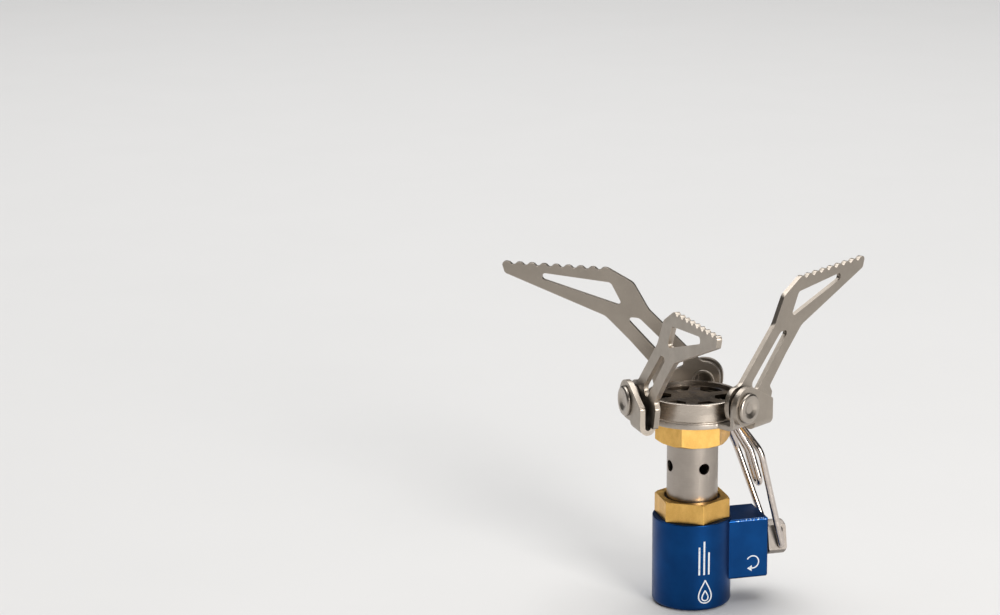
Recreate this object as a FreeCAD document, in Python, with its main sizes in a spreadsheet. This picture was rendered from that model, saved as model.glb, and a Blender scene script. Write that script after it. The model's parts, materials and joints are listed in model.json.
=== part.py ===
"""Folding canister stove: valve body, mixing tube, burner head, three pot supports and a wire handle.

Frame: +Z up, origin at the centre of the valve body's lower face, valve spindle along +X. Millimetres.
Every driving dimension lives in the Dims spreadsheet; sketches, features and placements are bound to it.
"""
import FreeCAD, Part
import math
import os

import Sketcher

os.makedirs("parts", exist_ok=True)

DIMENSIONS = {
    # valve body, turned and milled in one piece with its side boss
    "body_radius": 9.5, "body_height": 21.6, "body_edge": 1.0, "body_shoulder": 0.25,
    "boss_reach": 17.5, "boss_width": 11.5, "boss_bottom": 5.9, "boss_top": 20.9, "boss_edge": 0.6,
    "boss_bevel": 0.3, "socket_radius": 5.1, "thread_length": 5.4, "relief_radius": 5.6, "relief_slope": 0.5,
    "socket_depth": 9.2, "filter_recess": 0.9, "filter_radius": 2.9,
    "neck_radius": 6.9, "neck_bore": 5.5, "neck_height": 3.2,
    "spindle_height": 13.9, "outlet_radius": 0.9, "seat_radius": 0.55, "seat_reach": 1.8,
    "chamber_radius": 1.7, "chamber_reach": 6.0, "screw_bore": 2.4, "screw_reach": 11.5,
    "gland_bore": 3.2, "inlet_radius": 0.6, "inlet_offset": 2.3,
    # canister side: seal, pin and filter
    "seal_ring": 4.0, "seal_wire": 0.9, "seal_groove": 0.6, "seal_play": 0.02, "filter_play": 0.03,
    "filter_rise": 0.05, "pin_radius": 1.2, "pin_tip_radius": 0.8, "pin_tip_round": 0.25, "pin_low": 5.7,
    "pin_high": 12.0, "pin_step": 7.0, "pin_taper": 0.4,
    # jet
    "jet_bore": 1.95, "jet_bottom": 18.4, "jet_shank": 1.9, "jet_corner": 2.9, "jet_hex_low": 21.95,
    "jet_hex_high": 23.9, "jet_tip": 25.0, "jet_foot_gap": 0.2, "jet_cone": 1.3, "jet_nose": 0.7,
    "jet_step": 0.1, "jet_throat_start": 0.6, "jet_throat_end": 0.4, "jet_passage": 0.6, "jet_hole": 0.15,
    "jet_seal_outer": 2.85,
    # hexagonal brass nuts
    "nut_across": 16.0, "nut_chamfer": 0.55, "nut_bore_chamfer": 0.3, "lower_nut_height": 4.9,
    "lower_nut_lip": 0.85, "lower_nut_mouth": 6.5, "lower_nut_turn": 28.8, "upper_nut_low": 40.3,
    "upper_nut_turn": 54.6, "nut_clearance": 0.05,
    # mixing tube
    "tube_radius": 6.14, "tube_wall": 0.55, "tube_flange": 6.85, "tube_flange_height": 0.8, "tube_top": 48.3,
    "tube_end_round": 0.2, "air_hole": 1.38, "air_height": 34.5, "air_turn": 9.0,
    # support bracket
    "head_turn": 32.7, "ring_radius": 11.6, "ring_bore": 6.2, "ring_low": 45.95, "sheet": 1.2,
    "ear_offset": 14.3, "ear_left": -4.2, "ear_right": 2.3, "ear_round": 3.7, "ear_bend": 0.3,
    "ear_root": 8.0,
    # burner head
    "cup_radius": 11.1, "cup_waist": 10.88, "cup_foot": 11.3, "cup_top": 51.9, "cup_rim_bore": 10.1,
    "cup_bore": 9.3, "cup_floor": 1.0, "cup_foot_height": 0.3, "cup_foot_round": 0.12,
    "cup_waist_height": 2.2, "cup_waist_round": 3.0, "cup_rim_round": 0.2,
    "plate_low": 50.2, "plate_thick": 0.8, "plate_radius": 10.05, "slot_inner": 5.2, "slot_outer": 9.2,
    "slot_crown": 0.15, "slot_shoulder": 1.1, "slot_shoulder_in": 0.35, "slot_crown_half": 1.3,
    "slot_crown_round": 1.5, "slot_round": 0.25, "spoke_width": 3.0, "spoke_turn": 8.4,
    "spreader_low": 49.2, "spreader_thick": 0.5, "spreader_radius": 9.25, "spreader_skirt": 0.6,
    "spreader_edge": 0.25, "spreader_gap": 0.01, "ridge_middle": 6.7, "ridge_half": 0.2, "ridge_side": 0.3,
    "ridge_rise": 0.3, "outer_ports": 8.1, "outer_port": 0.6, "inner_ports": 5.2, "inner_port": 0.7,
    # pot supports, in the plane of each sheet: reach outward from the pivot side, height above the base
    "arm_offset": 13.0, "fold_gap": 1.4, "pivot_reach": -0.6, "pivot_height": 51.3, "pivot_hole": 2.25,
    "fold_centre": 47.1, "fold_relief": 0.35, "web_left": 2.4, "web_right": 9.2, "tooth_pitch": 3.03,
    "tooth_first": 25.3, "tooth_half": 1.55, "tooth_shoulder": 0.95, "tooth_depth": 0.94,
    "tooth_shoulder_drop": 0.08, "tooth_trim": 0.02, "tooth_above": 0.6, "tooth_round": 0.9,
    "root_round": 0.55, "crest_low": 78.4, "crest_high": 78.95, "crest_start": 23.3,
    "crest_end": 49.5,
    # hollow rivets
    "rivet_shank": 2.2, "rivet_head": 3.6, "rivet_head_low": 16.88, "rivet_head_high": 17.75,
    "rivet_tail": 2.75, "rivet_tail_low": 12.5, "rivet_tail_high": 12.95, "rivet_hollow": 1.85,
    "rivet_hollow_end": 16.3, "rivet_dimple": 2.35, "rivet_dimple_depth": 0.5, "dimple_floor": 1.2,
    "dimple_round": 1.0, "dimple_lip": 0.5, "rivet_head_round": 0.6, "rivet_tail_round": 0.25,
    "rivet_roll": 0.25, "rivet_roll_round": 0.2, "rivet_roll_depth": 0.4, "rivet_drill_point": 0.3,
    # valve spindle and its packing
    "spindle_turn": -12.0, "needle_start": 1.85, "needle_point": 0.3, "needle_taper": 1.5,
    "needle_radius": 1.35, "screw_start": 6.2, "screw_lead": 0.4, "screw_end": 11.0, "screw_runout": 0.35,
    "screw_radius": 2.35, "stem_radius": 2.0, "head_start": 18.7, "head_end": 23.3, "head_radius": 4.2,
    "head_back_round": 0.35, "head_front_round": 0.5, "head_half": 2.9, "cross_hole": 0.85,
    "cross_reach": 21.6, "cross_height": 1.8,
    "packing_ring": 2.6, "packing_wire": 0.58, "packing_place": 12.2,
    "gland_start": 12.9, "gland_end": 17.3, "gland_radius": 3.15, "gland_edge": 0.2, "gland_bush": 2.06,
    "gland_slot": 0.8, "gland_slot_half": 0.45,
    # wire handle, folded up over the boss
    "wire_radius": 0.8, "grip_lean": 13.5, "grip_lower": 24.2, "grip_upper": 8.6, "grip_upper_lean": 29.0,
    "grip_foot": 3.85, "grip_wide": 8.6, "grip_tip": 4.6, "tongue_half": 1.4, "tongue_end": 15.6,
    "stub_end": 1.7, "grip_foot_round": 1.2, "grip_side_round": 5.0, "grip_tip_round": 1.55,
}
TINY = 1e-6        # lengths below this count as nothing
NEAR_FULL = 0.001  # keeps a rounding just short of the run it rounds
OVERCUT = 0.5      # how far a cut starts outside the face it enters

doc = FreeCAD.newDocument("CanisterStove")
sheet = doc.addObject("Spreadsheet::Sheet", "Dims")
for row, (name, number) in enumerate(DIMENSIONS.items(), start=1):
    sheet.set("A%d" % row, name)
    sheet.set("B%d" % row, repr(float(number)))
    sheet.setAlias("B%d" % row, name)
doc.recompute()


class Size:
    """A number together with the spreadsheet expression that gives it."""

    def __init__(self, number, words):
        self.number = float(number)
        self.words = words

    def join(self, other, sign, swap=False):
        other = other if isinstance(other, Size) else Size(other, repr(float(other)))
        first, second = (other, self) if swap else (self, other)
        results = {
            "+": first.number + second.number,
            "-": first.number - second.number,
            "*": first.number * second.number,
            "/": first.number / second.number if second.number else 0.0,
        }
        return Size(results[sign], "(%s %s %s)" % (first.words, sign, second.words))

    def __add__(self, other):
        return self.join(other, "+")

    def __radd__(self, other):
        return self.join(other, "+", True)

    def __sub__(self, other):
        return self.join(other, "-")

    def __rsub__(self, other):
        return self.join(other, "-", True)

    def __mul__(self, other):
        return self.join(other, "*")

    def __rmul__(self, other):
        return self.join(other, "*", True)

    def __truediv__(self, other):
        return self.join(other, "/")

    def __neg__(self):
        return Size(0, "0.0") - self


def dim(name):
    return Size(DIMENSIONS[name], "Dims." + name)


def as_size(value):
    return value if isinstance(value, Size) else Size(value, repr(float(value)))


def bind(thing, prop, value):
    """Sets a property and ties it to its expression when it has one."""
    value = as_size(value)
    if "Dims." in value.words:
        thing.setExpression(prop, value.words)
    return value.number


def new_body(label):
    body = doc.addObject("PartDesign::Body", label)
    body.Label = label
    return body


def origin_item(body, role):
    """One of the body's own planes or axes."""
    return next(item for item in body.Origin.OriginFeatures if item.Role == role)


def new_sketch(body, name, role, offset=0):
    """A sketch on one of the body's own origin planes, moved along that plane's normal by offset."""
    sketch = body.newObject("Sketcher::SketchObject", name)
    sketch.AttachmentSupport = [(origin_item(body, role), "")]
    sketch.MapMode = "FlatFace"
    number = bind(sketch, "AttachmentOffset.Base.z", offset)
    sketch.AttachmentOffset = FreeCAD.Placement(FreeCAD.Vector(0, 0, number), FreeCAD.Rotation())
    return sketch


def pin_point(sketch, tag, geometry, end, across, up):
    """Holds a sketch point at the coordinates given, each tied to the spreadsheet."""
    for kind, value, axis, letter in (("DistanceX", across, -2, "x"), ("DistanceY", up, -1, "y")):
        value = as_size(value)
        if abs(value.number) < TINY:
            sketch.addConstraint(Sketcher.Constraint("PointOnObject", geometry, end, axis))
            continue
        place = sketch.addConstraint(Sketcher.Constraint(kind, -1, 1, geometry, end, value.number))
        label = tag + letter
        sketch.renameConstraint(place, label)
        if "Dims." in value.words:
            sketch.setExpression("Constraints." + label, value.words)


def add_outline(sketch, corners, tag="p"):
    """A closed outline through the corners (across, up[, rounding radius])."""
    first = sketch.GeometryCount
    count = len(corners)
    spots = [FreeCAD.Vector(as_size(c[0]).number, as_size(c[1]).number, 0) for c in corners]
    for i in range(count):
        sketch.addGeometry(Part.LineSegment(spots[i], spots[(i + 1) % count]), False)
    for i in range(count):
        sketch.addConstraint(Sketcher.Constraint("Coincident", first + i, 2, first + (i + 1) % count, 1))
    for i, corner in enumerate(corners):
        pin_point(sketch, "%s%d" % (tag, i), first + i, 1, corner[0], corner[1])
    for i, corner in enumerate(corners):
        if len(corner) < 3:
            continue
        radius = as_size(corner[2])
        before, after = spots[i - 1] - spots[i], spots[(i + 1) % count] - spots[i]
        turn = before.getAngle(after)
        reach = radius.number / math.tan(turn / 2)
        near = [spots[i] + FreeCAD.Vector(way).normalize() * reach for way in (before, after)]
        lines = (first + (i - 1) % count, first + i)
        sketch.fillet(lines[0], lines[1], near[0], near[1], radius.number, True, True)
        arcs = [k for k, item in enumerate(sketch.Geometry) if isinstance(item, Part.ArcOfCircle)]
        place = sketch.addConstraint(Sketcher.Constraint("Radius", arcs[-1], radius.number))
        label = "%s%dr" % (tag, i)
        sketch.renameConstraint(place, label)
        if "Dims." in radius.words:
            sketch.setExpression("Constraints." + label, radius.words)


def add_circle(sketch, across, up, radius, tag="c"):
    across, up, radius = as_size(across), as_size(up), as_size(radius)
    middle = FreeCAD.Vector(across.number, up.number, 0)
    item = sketch.addGeometry(Part.Circle(middle, FreeCAD.Vector(0, 0, 1), radius.number), False)
    pin_point(sketch, tag, item, 3, across, up)
    place = sketch.addConstraint(Sketcher.Constraint("Radius", item, radius.number))
    sketch.renameConstraint(place, tag + "r")
    if "Dims." in radius.words:
        sketch.setExpression("Constraints." + tag + "r", radius.words)


def pad(body, sketch, length, both_ways=False, backwards=False):
    feature = body.newObject("PartDesign::Pad", sketch.Name + "Pad")
    feature.Profile = sketch
    feature.Midplane = both_ways
    feature.Reversed = backwards
    feature.Length = bind(feature, "Length", length)
    doc.recompute()
    return feature


def check_removed(body, sketch, before):
    if not body.Shape.Volume < before - TINY:
        raise RuntimeError(sketch.Name + " cuts nothing")


def pocket(body, sketch, length, both_ways=False, backwards=False):
    """Cuts the sketch's outline out of the body, and stops if nothing was removed."""
    before = body.Shape.Volume
    feature = body.newObject("PartDesign::Pocket", sketch.Name + "Pocket")
    feature.Profile = sketch
    feature.Midplane = both_ways
    feature.Reversed = backwards
    feature.Length = bind(feature, "Length", length)
    doc.recompute()
    check_removed(body, sketch, before)
    return feature


def turn(body, sketch, axis="V_Axis", cut=False):
    """Revolves a half profile about one of its sketch's axes."""
    before = body.Shape.Volume if cut else 0.0
    kind = "PartDesign::Groove" if cut else "PartDesign::Revolution"
    feature = body.newObject(kind, sketch.Name + ("Groove" if cut else "Turned"))
    feature.Profile = sketch
    feature.ReferenceAxis = (sketch, [axis])
    feature.Angle = 360
    doc.recompute()
    if cut:
        check_removed(body, sketch, before)
    return feature


def around(body, features, count):
    """Repeats features about the body's own vertical axis."""
    pattern = body.newObject("PartDesign::PolarPattern", features[0].Name + "Around")
    pattern.Originals = features
    pattern.Axis = (origin_item(body, "Z_Axis"), [""])
    pattern.Angle = 360
    pattern.Occurrences = count
    body.Tip = pattern
    doc.recompute()
    return pattern


def set_place(thing, along=(0, 0, 0), turn_axis=(0, 0, 1), angle=0):
    """Places a finished object, each shift and the angle tied to the spreadsheet."""
    numbers = []
    for letter, value in zip("xyz", along):
        numbers.append(bind(thing, "Placement.Base." + letter, value))
    angle = as_size(angle)
    rotation = FreeCAD.Rotation(FreeCAD.Vector(*turn_axis), angle.number)
    thing.Placement = FreeCAD.Placement(FreeCAD.Vector(*numbers), rotation)
    if "Dims." in angle.words:
        thing.setExpression("Placement.Rotation.Angle", angle.words)


def hexagon_corners(corner):
    """The six corners of a hexagon about the origin, the first along X."""
    turns = [math.radians(60 * k) for k in range(6)]
    return [(corner * round(math.cos(t), 12), corner * round(math.sin(t), 12)) for t in turns]


NODES = []


def keep(thing):
    NODES.append(thing)
    return thing


# ---- valve body ----------------------------------------------------------------------------------
top = dim("body_height")
axis_height = dim("spindle_height")

body = new_body("valve_body")
wall = new_sketch(body, "body_wall", "XZ_Plane")
add_outline(wall, [
    (0, 0), (dim("body_radius"), 0, dim("body_edge")), (dim("body_radius"), top, dim("body_shoulder")),
    (dim("neck_radius"), top), (dim("neck_radius"), top + dim("neck_height")), (0, top + dim("neck_height")),
])
turn(body, wall)
block = new_sketch(body, "boss_block", "YZ_Plane")
half = dim("boss_width") / 2
add_outline(block, [
    (-half, dim("boss_bottom"), dim("boss_edge")), (half, dim("boss_bottom"), dim("boss_edge")),
    (half, dim("boss_top"), dim("boss_edge")), (-half, dim("boss_top"), dim("boss_edge")),
])
boss_pad = pad(body, block, dim("boss_reach"))
end_edges = []
for number, edge in enumerate(body.Shape.Edges, start=1):
    if all(abs(v.X - DIMENSIONS["boss_reach"]) < TINY for v in edge.Vertexes):
        end_edges.append("Edge%d" % number)
bevel = body.newObject("PartDesign::Chamfer", "boss_bevel")
bevel.Base = (boss_pad, end_edges)
bevel.Size = bind(bevel, "Size", dim("boss_bevel"))
doc.recompute()

socket = new_sketch(body, "canister_socket", "XZ_Plane")
ceiling = dim("socket_depth")
groove_top = ceiling + dim("seal_groove")
filter_top = ceiling + dim("filter_recess")
groove_in = dim("seal_ring") - dim("seal_wire")
groove_out = dim("seal_ring") + dim("seal_wire")
add_outline(socket, [
    (0, 0), (dim("socket_radius"), 0), (dim("socket_radius"), dim("thread_length")),
    (dim("relief_radius"), dim("thread_length") + dim("relief_slope")), (dim("relief_radius"), ceiling),
    (groove_out, ceiling), (groove_out, groove_top), (groove_in, groove_top), (groove_in, ceiling),
    (dim("filter_radius"), ceiling), (dim("filter_radius"), filter_top), (dim("pin_radius"), filter_top),
    (dim("pin_radius"), dim("pin_high")), (0, dim("pin_high")),
])
turn(body, socket, cut=True)
throat = new_sketch(body, "jet_throat", "XZ_Plane")
add_outline(throat, [
    (0, axis_height), (dim("outlet_radius"), axis_height), (dim("outlet_radius"), dim("jet_bottom")),
    (dim("jet_bore"), dim("jet_bottom")), (dim("jet_bore"), top), (dim("neck_bore"), top),
    (dim("neck_bore"), top + dim("neck_height")), (0, top + dim("neck_height")),
])
turn(body, throat, cut=True)
passage = new_sketch(body, "spindle_passage", "XY_Plane", axis_height)
add_outline(passage, [
    (0, 0), (dim("boss_reach"), 0), (dim("boss_reach"), dim("gland_bore")),
    (dim("screw_reach"), dim("gland_bore")), (dim("screw_reach"), dim("screw_bore")),
    (dim("chamber_reach"), dim("screw_bore")), (dim("chamber_reach"), dim("chamber_radius")),
    (dim("seat_reach"), dim("chamber_radius")), (dim("seat_reach"), dim("seat_radius")),
    (0, dim("seat_radius")),
])
turn(body, passage, "H_Axis", cut=True)
inlet = new_sketch(body, "gas_inlet", "XY_Plane", ceiling)
add_circle(inlet, dim("inlet_offset"), 0, dim("inlet_radius"))
pocket(body, inlet, axis_height - ceiling, backwards=True)
keep(body)


# ---- canister side -------------------------------------------------------------------------------
def ring_seal(label, ring, wire, along, turn_axis=(0, 0, 1), angle=0):
    """An O-ring about its own Z axis, then placed."""
    torus = doc.addObject("Part::Torus", label)
    torus.Label = label
    torus.Radius1 = bind(torus, "Radius1", ring)
    torus.Radius2 = bind(torus, "Radius2", wire)
    set_place(torus, along, turn_axis, angle)
    return keep(torus)


ring_seal("canister_seal", dim("seal_ring"), dim("seal_wire") - dim("seal_play"),
          (0, 0, groove_top - dim("seal_wire")))

pin = new_body("valve_pin")
rod = new_sketch(pin, "pin_rod", "XZ_Plane")
add_outline(rod, [
    (0, dim("pin_low")), (dim("pin_tip_radius"), dim("pin_low"), dim("pin_tip_round")),
    (dim("pin_tip_radius"), dim("pin_step")), (dim("pin_radius"), dim("pin_step") + dim("pin_taper")),
    (dim("pin_radius"), dim("pin_high")), (0, dim("pin_high")),
])
turn(pin, rod)
keep(pin)

filter_disc = new_body("gas_filter")
disc = new_sketch(filter_disc, "filter_disc", "XZ_Plane")
filter_in = dim("pin_radius") + dim("filter_play")
filter_out = dim("filter_radius") - dim("filter_play")
filter_low = ceiling + dim("filter_rise")
add_outline(disc, [
    (filter_in, filter_low), (filter_out, filter_low), (filter_out, filter_top), (filter_in, filter_top),
])
turn(filter_disc, disc)
keep(filter_disc)


# ---- jet and its washer --------------------------------------------------------------------------
jet = new_body("jet")
shank = new_sketch(jet, "jet_shank", "XZ_Plane")
jet_foot = dim("jet_bottom") + dim("jet_foot_gap")
add_outline(shank, [
    (0, jet_foot), (dim("jet_shank"), jet_foot), (dim("jet_shank"), dim("jet_hex_high")),
    (dim("jet_cone"), dim("jet_hex_high") + dim("jet_step")), (dim("jet_nose"), dim("jet_tip")),
    (0, dim("jet_tip")),
])
turn(jet, shank)
hexagon = new_sketch(jet, "jet_hexagon", "XY_Plane", dim("jet_hex_low"))
add_outline(hexagon, hexagon_corners(dim("jet_corner")))
pad(jet, hexagon, dim("jet_hex_high") - dim("jet_hex_low"))
drill = new_sketch(jet, "jet_drill", "XZ_Plane")
add_outline(drill, [
    (0, dim("jet_bottom")), (dim("jet_passage"), dim("jet_bottom")),
    (dim("jet_passage"), dim("jet_tip") - dim("jet_throat_start")),
    (dim("jet_hole"), dim("jet_tip") - dim("jet_throat_end")), (dim("jet_hole"), dim("jet_tip")),
    (0, dim("jet_tip")),
])
turn(jet, drill, cut=True)
keep(jet)

washer = new_body("jet_seal")
band = new_sketch(washer, "washer_band", "XZ_Plane")
add_outline(band, [
    (dim("jet_bore"), top), (dim("jet_seal_outer"), top), (dim("jet_seal_outer"), dim("jet_hex_low")),
    (dim("jet_bore"), dim("jet_hex_low")),
])
turn(washer, band)
keep(washer)


# ---- brass hexagonal nuts ------------------------------------------------------------------------
nut_corner = dim("nut_across") / math.sqrt(3)
NUT_CHAMFER_SLOPE = math.tan(math.radians(30))
NUT_SURROUND = 1.0


def hex_nut(label, low, height, bore_profile, chamfer_top, chamfer_low, angle):
    """A hexagonal nut about Z, bored by a turned profile, its corners chamfered by a share of nut_chamfer."""
    nut = new_body(label)
    prism = new_sketch(nut, label + "_prism", "XY_Plane", low)
    add_outline(prism, hexagon_corners(nut_corner))
    pad(nut, prism, height)
    bored = new_sketch(nut, label + "_bore", "XZ_Plane")
    add_outline(bored, bore_profile)
    turn(nut, bored, cut=True)
    reach = nut_corner + NUT_SURROUND
    for side, share in ((1, chamfer_top), (-1, chamfer_low)):
        if not share:
            continue
        face = low + height if side > 0 else low
        corner = new_sketch(nut, label + ("_top" if side > 0 else "_low") + "_chamfer", "XZ_Plane")
        start = nut_corner - dim("nut_chamfer") * share
        slope = (dim("nut_chamfer") * share + NUT_SURROUND) * NUT_CHAMFER_SLOPE
        beyond = face + side * NUT_SURROUND
        points = [(start, face), (reach, face - side * slope), (reach, beyond), (start, beyond)]
        add_outline(corner, points if side < 0 else points[::-1])
        turn(nut, corner, cut=True)
    set_place(nut, angle=angle)
    return keep(nut)


lower_height = dim("lower_nut_height")
lip_low = top + lower_height - dim("lower_nut_lip")
lower_wide = dim("neck_radius") + dim("nut_clearance")
lower_top = top + lower_height
lead = dim("nut_bore_chamfer")
hex_nut("lower_nut", top, lower_height, [
    (0, top), (lower_wide, top), (lower_wide, lip_low), (dim("lower_nut_mouth"), lip_low),
    (dim("lower_nut_mouth"), lower_top - lead), (dim("lower_nut_mouth") + lead, lower_top), (0, lower_top),
], 1.0, 0, dim("lower_nut_turn"))
upper_low = dim("upper_nut_low")
ring_low = dim("ring_low")
upper_bore = dim("tube_radius") + dim("nut_clearance")
hex_nut("upper_nut", upper_low, ring_low - upper_low, [
    (0, upper_low), (upper_bore + lead, upper_low), (upper_bore, upper_low + lead), (upper_bore, ring_low),
    (0, ring_low),
], 0.5, 2.0, dim("upper_nut_turn"))


# ---- mixing tube ---------------------------------------------------------------------------------
tube = new_body("mixing_tube")
tube_low = top + dim("neck_height")
tube_in = dim("tube_radius") - dim("tube_wall")
tube_wall = new_sketch(tube, "tube_wall", "XZ_Plane")
flange_top = tube_low + dim("tube_flange_height")
add_outline(tube_wall, [
    (tube_in, tube_low), (dim("tube_flange"), tube_low), (dim("tube_flange"), flange_top),
    (dim("tube_radius"), flange_top), (dim("tube_radius"), dim("tube_top"), dim("tube_end_round")),
    (tube_in, dim("tube_top")),
])
turn(tube, tube_wall)
for role, name in (("XZ_Plane", "air_hole_fore"), ("YZ_Plane", "air_hole_side")):
    air = new_sketch(tube, name, role)
    add_circle(air, 0, dim("air_height"), dim("air_hole"))
    pocket(tube, air, dim("tube_radius") * 2 + 2 * OVERCUT, both_ways=True)
set_place(tube, angle=dim("air_turn"))
keep(tube)


# ---- support bracket: ring with three bent-up ears -----------------------------------------------
bracket = new_body("support_bracket")
sheet_thick = dim("sheet")
ring = new_sketch(bracket, "bracket_ring", "XY_Plane", ring_low)
add_circle(ring, 0, 0, dim("ring_radius"), "outer")
pad(bracket, ring, sheet_thick)
ear_in = dim("ear_offset")
ear_out = ear_in + sheet_thick
ear_root = dim("ear_root")
bend_in = dim("ear_bend")
ring_top = ring_low + sheet_thick
elbow = new_sketch(bracket, "ear_elbow", "YZ_Plane", dim("ear_left"))
add_outline(elbow, [
    (-ear_root, ring_low), (-ear_out, ring_low, bend_in + sheet_thick), (-ear_out, dim("pivot_height")),
    (-ear_in, dim("pivot_height")), (-ear_in, ring_top, bend_in), (-ear_root, ring_top),
])
elbow_pad = pad(bracket, elbow, dim("ear_right") - dim("ear_left"))
ear = new_sketch(bracket, "ear_round", "XZ_Plane", ear_in)
add_circle(ear, dim("pivot_reach"), dim("pivot_height"), dim("ear_round"))
ear_pad = pad(bracket, ear, sheet_thick)
around(bracket, [elbow_pad, ear_pad], 3)
bore = new_sketch(bracket, "bracket_bore", "XY_Plane", ring_low)
add_circle(bore, 0, 0, dim("ring_bore"), "bore")
pocket(bracket, bore, sheet_thick, backwards=True)
pivot_bore = new_sketch(bracket, "pivot_bore", "XZ_Plane", ear_in - OVERCUT)
add_circle(pivot_bore, dim("pivot_reach"), dim("pivot_height"), dim("rivet_shank"))
bore_cut = pocket(bracket, pivot_bore, sheet_thick + 2 * OVERCUT, backwards=True)
around(bracket, [bore_cut], 3)
set_place(bracket, angle=dim("head_turn"))
keep(bracket)


# ---- burner head ---------------------------------------------------------------------------------
cup = new_body("burner_cup")
floor_top = ring_top + dim("cup_floor")
foot_top = ring_top + dim("cup_foot_height")
cup_wall = new_sketch(cup, "cup_wall", "XZ_Plane")
add_outline(cup_wall, [
    (dim("ring_bore"), ring_top), (dim("cup_foot"), ring_top),
    (dim("cup_foot"), foot_top, dim("cup_foot_round")), (dim("cup_waist"), foot_top + dim("cup_foot_round")),
    (dim("cup_waist"), ring_top + dim("cup_waist_height"), dim("cup_waist_round")),
    (dim("cup_radius"), dim("cup_top"), dim("cup_rim_round")), (dim("cup_rim_bore"), dim("cup_top")),
    (dim("cup_rim_bore"), dim("plate_low")), (dim("cup_bore"), dim("plate_low")),
    (dim("cup_bore"), floor_top), (dim("ring_bore"), floor_top),
])
turn(cup, cup_wall)
keep(cup)

plate = new_body("flame_plate")
round_plate = new_sketch(plate, "plate_disc", "XY_Plane", dim("plate_low"))
add_circle(round_plate, 0, 0, dim("plate_radius"))
pad(plate, round_plate, dim("plate_thick"))
opening = new_sketch(plate, "plate_opening", "XY_Plane", dim("plate_low"))
half_spoke = dim("spoke_width") / 2
half_sector = math.radians(30)
inner_half = dim("slot_inner") * math.tan(half_sector) - half_spoke / math.cos(half_sector)
outer_half = dim("slot_outer") * math.tan(half_sector) - half_spoke / math.cos(half_sector)
shoulder = dim("slot_outer") - dim("slot_shoulder")
shoulder_half = outer_half - dim("slot_shoulder_in")
crown = dim("slot_outer") - dim("slot_crown")
crown_half, crown_round = dim("slot_crown_half"), dim("slot_crown_round")
slot_round = dim("slot_round")
add_outline(opening, [
    (dim("slot_inner"), -inner_half, slot_round), (shoulder, -shoulder_half, slot_round),
    (crown, -crown_half, crown_round), (crown, crown_half, crown_round),
    (shoulder, shoulder_half, slot_round), (dim("slot_inner"), inner_half, slot_round),
])
slot_cut = pocket(plate, opening, dim("plate_thick"), backwards=True)
around(plate, [slot_cut], 6)
set_place(plate, angle=dim("spoke_turn") + 30)
keep(plate)

spreader = new_body("flame_spreader")
dish = new_sketch(spreader, "spreader_dish", "XZ_Plane")
skirt_in = dim("spreader_radius") - dim("spreader_skirt")
spreader_top = dim("spreader_low") + dim("spreader_thick")
skirt_low = floor_top + dim("spreader_gap")
ridge, ridge_half, ridge_top = dim("ridge_middle"), dim("ridge_half"), spreader_top + dim("ridge_rise")
ridge_foot = ridge_half + dim("ridge_side")
add_outline(dish, [
    (0, dim("spreader_low")), (skirt_in, dim("spreader_low")), (skirt_in, skirt_low),
    (dim("spreader_radius"), skirt_low), (dim("spreader_radius"), spreader_top, dim("spreader_edge")),
    (ridge + ridge_foot, spreader_top), (ridge + ridge_half, ridge_top), (ridge - ridge_half, ridge_top),
    (ridge - ridge_foot, spreader_top), (0, spreader_top),
])
turn(spreader, dish)
for place, count, size in (("outer_ports", 18, "outer_port"), ("inner_ports", 12, "inner_port")):
    port = new_sketch(spreader, place, "XY_Plane", dim("spreader_low"))
    add_circle(port, dim(place), 0, dim(size))
    port_cut = pocket(spreader, port, dim("spreader_thick") + OVERCUT, backwards=True)
    around(spreader, [port_cut], count)
keep(spreader)


# ---- pot supports --------------------------------------------------------------------------------
pivot_x = dim("pivot_reach")
pivot_z = dim("pivot_height")
bend_z = dim("fold_centre")
web_left = dim("web_left")
web_right = dim("web_right")
gap = dim("fold_gap")
clear_z = bend_z + dim("fold_relief")

# Corners of the sheet's outlines: distance outward from the stove's axis, height, rounding of the corner.
# The main leaf, from the outer end of its toothed crest along the underside to the pivot and back up.
ARM_OUTLINE = [
    (dim("crest_end"), dim("crest_high"), 0.8), (48.6, 76.1, 1.0),
    (23.6, 66.4, 4.0), (17.5, 60.5, 12.0), (11.3, 53.8, 0.6),
    (12.3, 52.2, 0.7), (10.9, 47.1, 0.6), (web_left, bend_z),
    (web_left, clear_z), (-4.6, clear_z, 3.6), (-4.6, 55.75, 3.5), (0.1, 56.1, 3.0),
    (13.0, 68.4, 4.0), (16.8, 74.9, 3.0), (dim("crest_start"), dim("crest_low"), 2.5),
]
# The triangular opening under the crest.
WINDOW = [(47.2, 77.25, 0.85), (22.3, 74.75, 1.4), (19.2, 68.85, 0.7)]
# The long opening in the leg.
SLOT = [(18.7, 66.3, 0.7), (15.3, 66.25, 2.0), (3.8, 55.5, 1.35), (6.1, 53.3, 1.35)]
# The short leaf beyond the fold.
SHORT_LEAF = [
    (web_right, bend_z), (web_right, 51.8, 0.7), (0.7, 56.3, 4.0), (-5.0, 56.2, 4.2), (-5.0, bend_z, 4.0),
]
TEETH = 8
crest_run = dim("crest_end") - dim("crest_start")
crest_rise = dim("crest_high") - dim("crest_low")


def below_crest(reach, drop):
    """A point at the reach given, drop below the straight line along the tops of the teeth."""
    return reach, dim("crest_low") + crest_rise / crest_run * (reach - dim("crest_start")) - drop


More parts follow.
